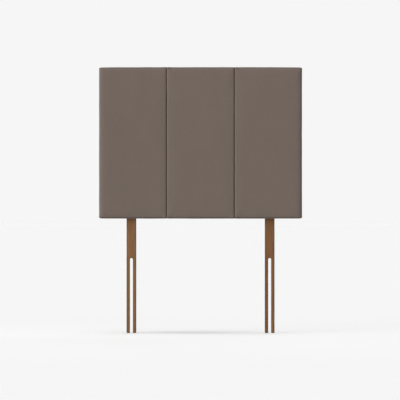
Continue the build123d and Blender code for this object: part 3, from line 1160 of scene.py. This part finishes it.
def make_floor(settings):
    """Wide plain floor just under the struts' feet."""
    bm = bmesh.new()
    bmesh.ops.create_grid(bm, x_segments=1, y_segments=1, size=FLOOR_REACH)
    floor = meshed("studio_floor", bm, floor_finish(settings))
    floor.location.z = -FLOOR_DROP


def make_lamp(name, power, spread, direction):
    """A wide, even white lamp that shines from that direction on the object."""
    lamp = bpy.data.lights.new(name, "SUN")
    lamp.energy = power
    lamp.angle = math.radians(spread)
    holder = in_scene(name, lamp)
    holder.rotation_euler = Vector(direction).to_track_quat("Z", "Y").to_euler()
    holder.location = Vector(direction) * LAMP_DISTANCE


def make_surroundings(settings):
    """Plain surroundings: even light on the object, and a pale background in the picture."""
    world = bpy.data.worlds.new("studio")
    bpy.context.scene.world = world
    around = Nodes(world)
    kinds = ((four((1.0,) * 3), settings.ambient), (four((settings.backdrop,) * 3), 1.0))
    light, seen = [
        around.node("ShaderNodeBackground", inputs={"Color": shade, "Strength": level})
        for shade, level in kinds
    ]
    mixed = around.node("ShaderNodeMixShader", inputs={0: seen_directly(around), 1: light, 2: seen})
    around.node("ShaderNodeOutputWorld", inputs={"Surface": mixed})


def make_camera(settings):
    """Long lens, level, in front of the panel."""
    camera = bpy.data.cameras.new("camera")
    camera.lens = settings.lens
    camera.clip_end = VIEW_REACH
    holder = in_scene("camera", camera)
    distance = settings.view_width * settings.lens / camera.sensor_width
    holder.location = (settings.view_side, FRONT - distance, settings.view_height)
    holder.rotation_euler = (math.pi / 2, 0, 0)
    bpy.context.scene.camera = holder


# Operators


class HEADBOARD_OT_covers(Operator):
    """Make the three padded covers in place of the plain covers, wadding and foam"""

    bl_idname = "headboard.covers"
    bl_label = "Padded covers"

    def execute(self, context):
        settings = context.scene.headboard_cover
        fabric = pile_fabric(settings.fabric)
        make_cover("left", PANEL_LOW.x, -SEAM, settings, fabric)
        make_cover("centre", -SEAM, SEAM, settings, fabric)
        make_cover("right", SEAM, PANEL_HIGH.x, settings, fabric)
        return {"FINISHED"}


class HEADBOARD_OT_dust_cover(Operator):
    """Make the thin cloth that closes the back"""

    bl_idname = "headboard.dust_cover"
    bl_label = "Dust cover"

    def execute(self, context):
        settings = context.scene.headboard_dust_cover
        make_dust_cover(settings, dust_cloth(settings.cloth))
        return {"FINISHED"}


class HEADBOARD_OT_bolts(Operator):
    """Make the bolts and washers that hold the struts"""

    bl_idname = "headboard.bolts"
    bl_label = "Bolts and washers"

    def execute(self, context):
        settings = context.scene.headboard_fixings
        steel = plated_steel("plated_bolt_steel", settings.zinc, scale=900)
        make_bolts(settings, steel)
        make_washers(settings, steel)
        return {"FINISHED"}


class HEADBOARD_OT_timber(Operator):
    """Finish the struts, the frame, the face board and the tack strips"""

    bl_idname = "headboard.timber"
    bl_label = "Timber and board"

    def execute(self, context):
        settings = context.scene.headboard_timber
        for side, shares, drift, middle in STRUT_LOOKS:
            shade = tinted(settings.stain, *shares)
            dress_node(f"strut_{side}", stained_wood(f"stained_wood_{side}", shade, drift, middle))
        frame_wood = softwood(settings.softwood)
        for node in FRAME_NODES + STILE_NODES:
            dress_node(node, frame_wood)
        dress_node("face_board", pressed_fibres("hardboard", settings.hardboard, scale=700))
        card = pressed_fibres("tack_card", settings.card, scale=1200)
        for node in ("tack_strip_left", "tack_strip_right"):
            dress_node(node, card)
        return {"FINISHED"}


class HEADBOARD_OT_fixings(Operator):
    """Finish the screws, the nuts and the staples"""

    bl_idname = "headboard.fixings"
    bl_label = "Screws, nuts and staples"

    def execute(self, context):
        settings = context.scene.headboard_fixings
        steel = plated_steel("plated_steel", settings.zinc, scale=1500)
        for node in ("frame_screws", "tee_nuts"):
            dress_node(node, steel)
        wire = plated_steel("staple_wire", settings.wire, scale=2500)
        for node in WIRE_NODES:
            dress_node(node, wire)
        return {"FINISHED"}


class HEADBOARD_OT_stage(Operator):
    """Make the floor, the lamps and the camera"""

    bl_idname = "headboard.stage"
    bl_label = "Stage"

    def execute(self, context):
        settings = context.scene.headboard_stage
        context.scene.view_settings.view_transform = "Standard"
        make_floor(settings)
        make_surroundings(settings)
        for name, setting, spread, direction in LAMPS:
            make_lamp(name, getattr(settings, setting), spread, direction)
        make_camera(settings)
        return {"FINISHED"}


OPERATORS = (
    HEADBOARD_OT_stage,
    HEADBOARD_OT_covers,
    HEADBOARD_OT_dust_cover,
    HEADBOARD_OT_bolts,
    HEADBOARD_OT_timber,
    HEADBOARD_OT_fixings,
)


class HEADBOARD_PT_panel(Panel):
    """Lists what the headboard is made of"""

    bl_label = "Headboard"
    bl_idname = "HEADBOARD_PT_panel"
    bl_space_type = "VIEW_3D"
    bl_region_type = "UI"
    bl_category = "Headboard"

    def draw(self, context):
        for maker in OPERATORS:
            self.layout.operator(maker.bl_idname)
        for name, group in SETTINGS.items():
            box = self.layout.box()
            for entry in group.__annotations__:
                box.prop(getattr(context.scene, name), entry)


def register():
    for group in SETTINGS.values():
        bpy.utils.register_class(group)
    for name, group in SETTINGS.items():
        setattr(bpy.types.Scene, name, PointerProperty(type=group))
    for maker in OPERATORS:
        bpy.utils.register_class(maker)
    bpy.utils.register_class(HEADBOARD_PT_panel)


def unregister():
    bpy.utils.unregister_class(HEADBOARD_PT_panel)
    for maker in reversed(OPERATORS):
        bpy.utils.unregister_class(maker)
    for name in SETTINGS:
        delattr(bpy.types.Scene, name)
    for group in reversed(SETTINGS.values()):
        bpy.utils.unregister_class(group)


def main():
    register()
    for maker in OPERATORS:
        group, name = maker.bl_idname.split(".")
        getattr(getattr(bpy.ops, group), name)()


if __name__ == "__main__":
    main()
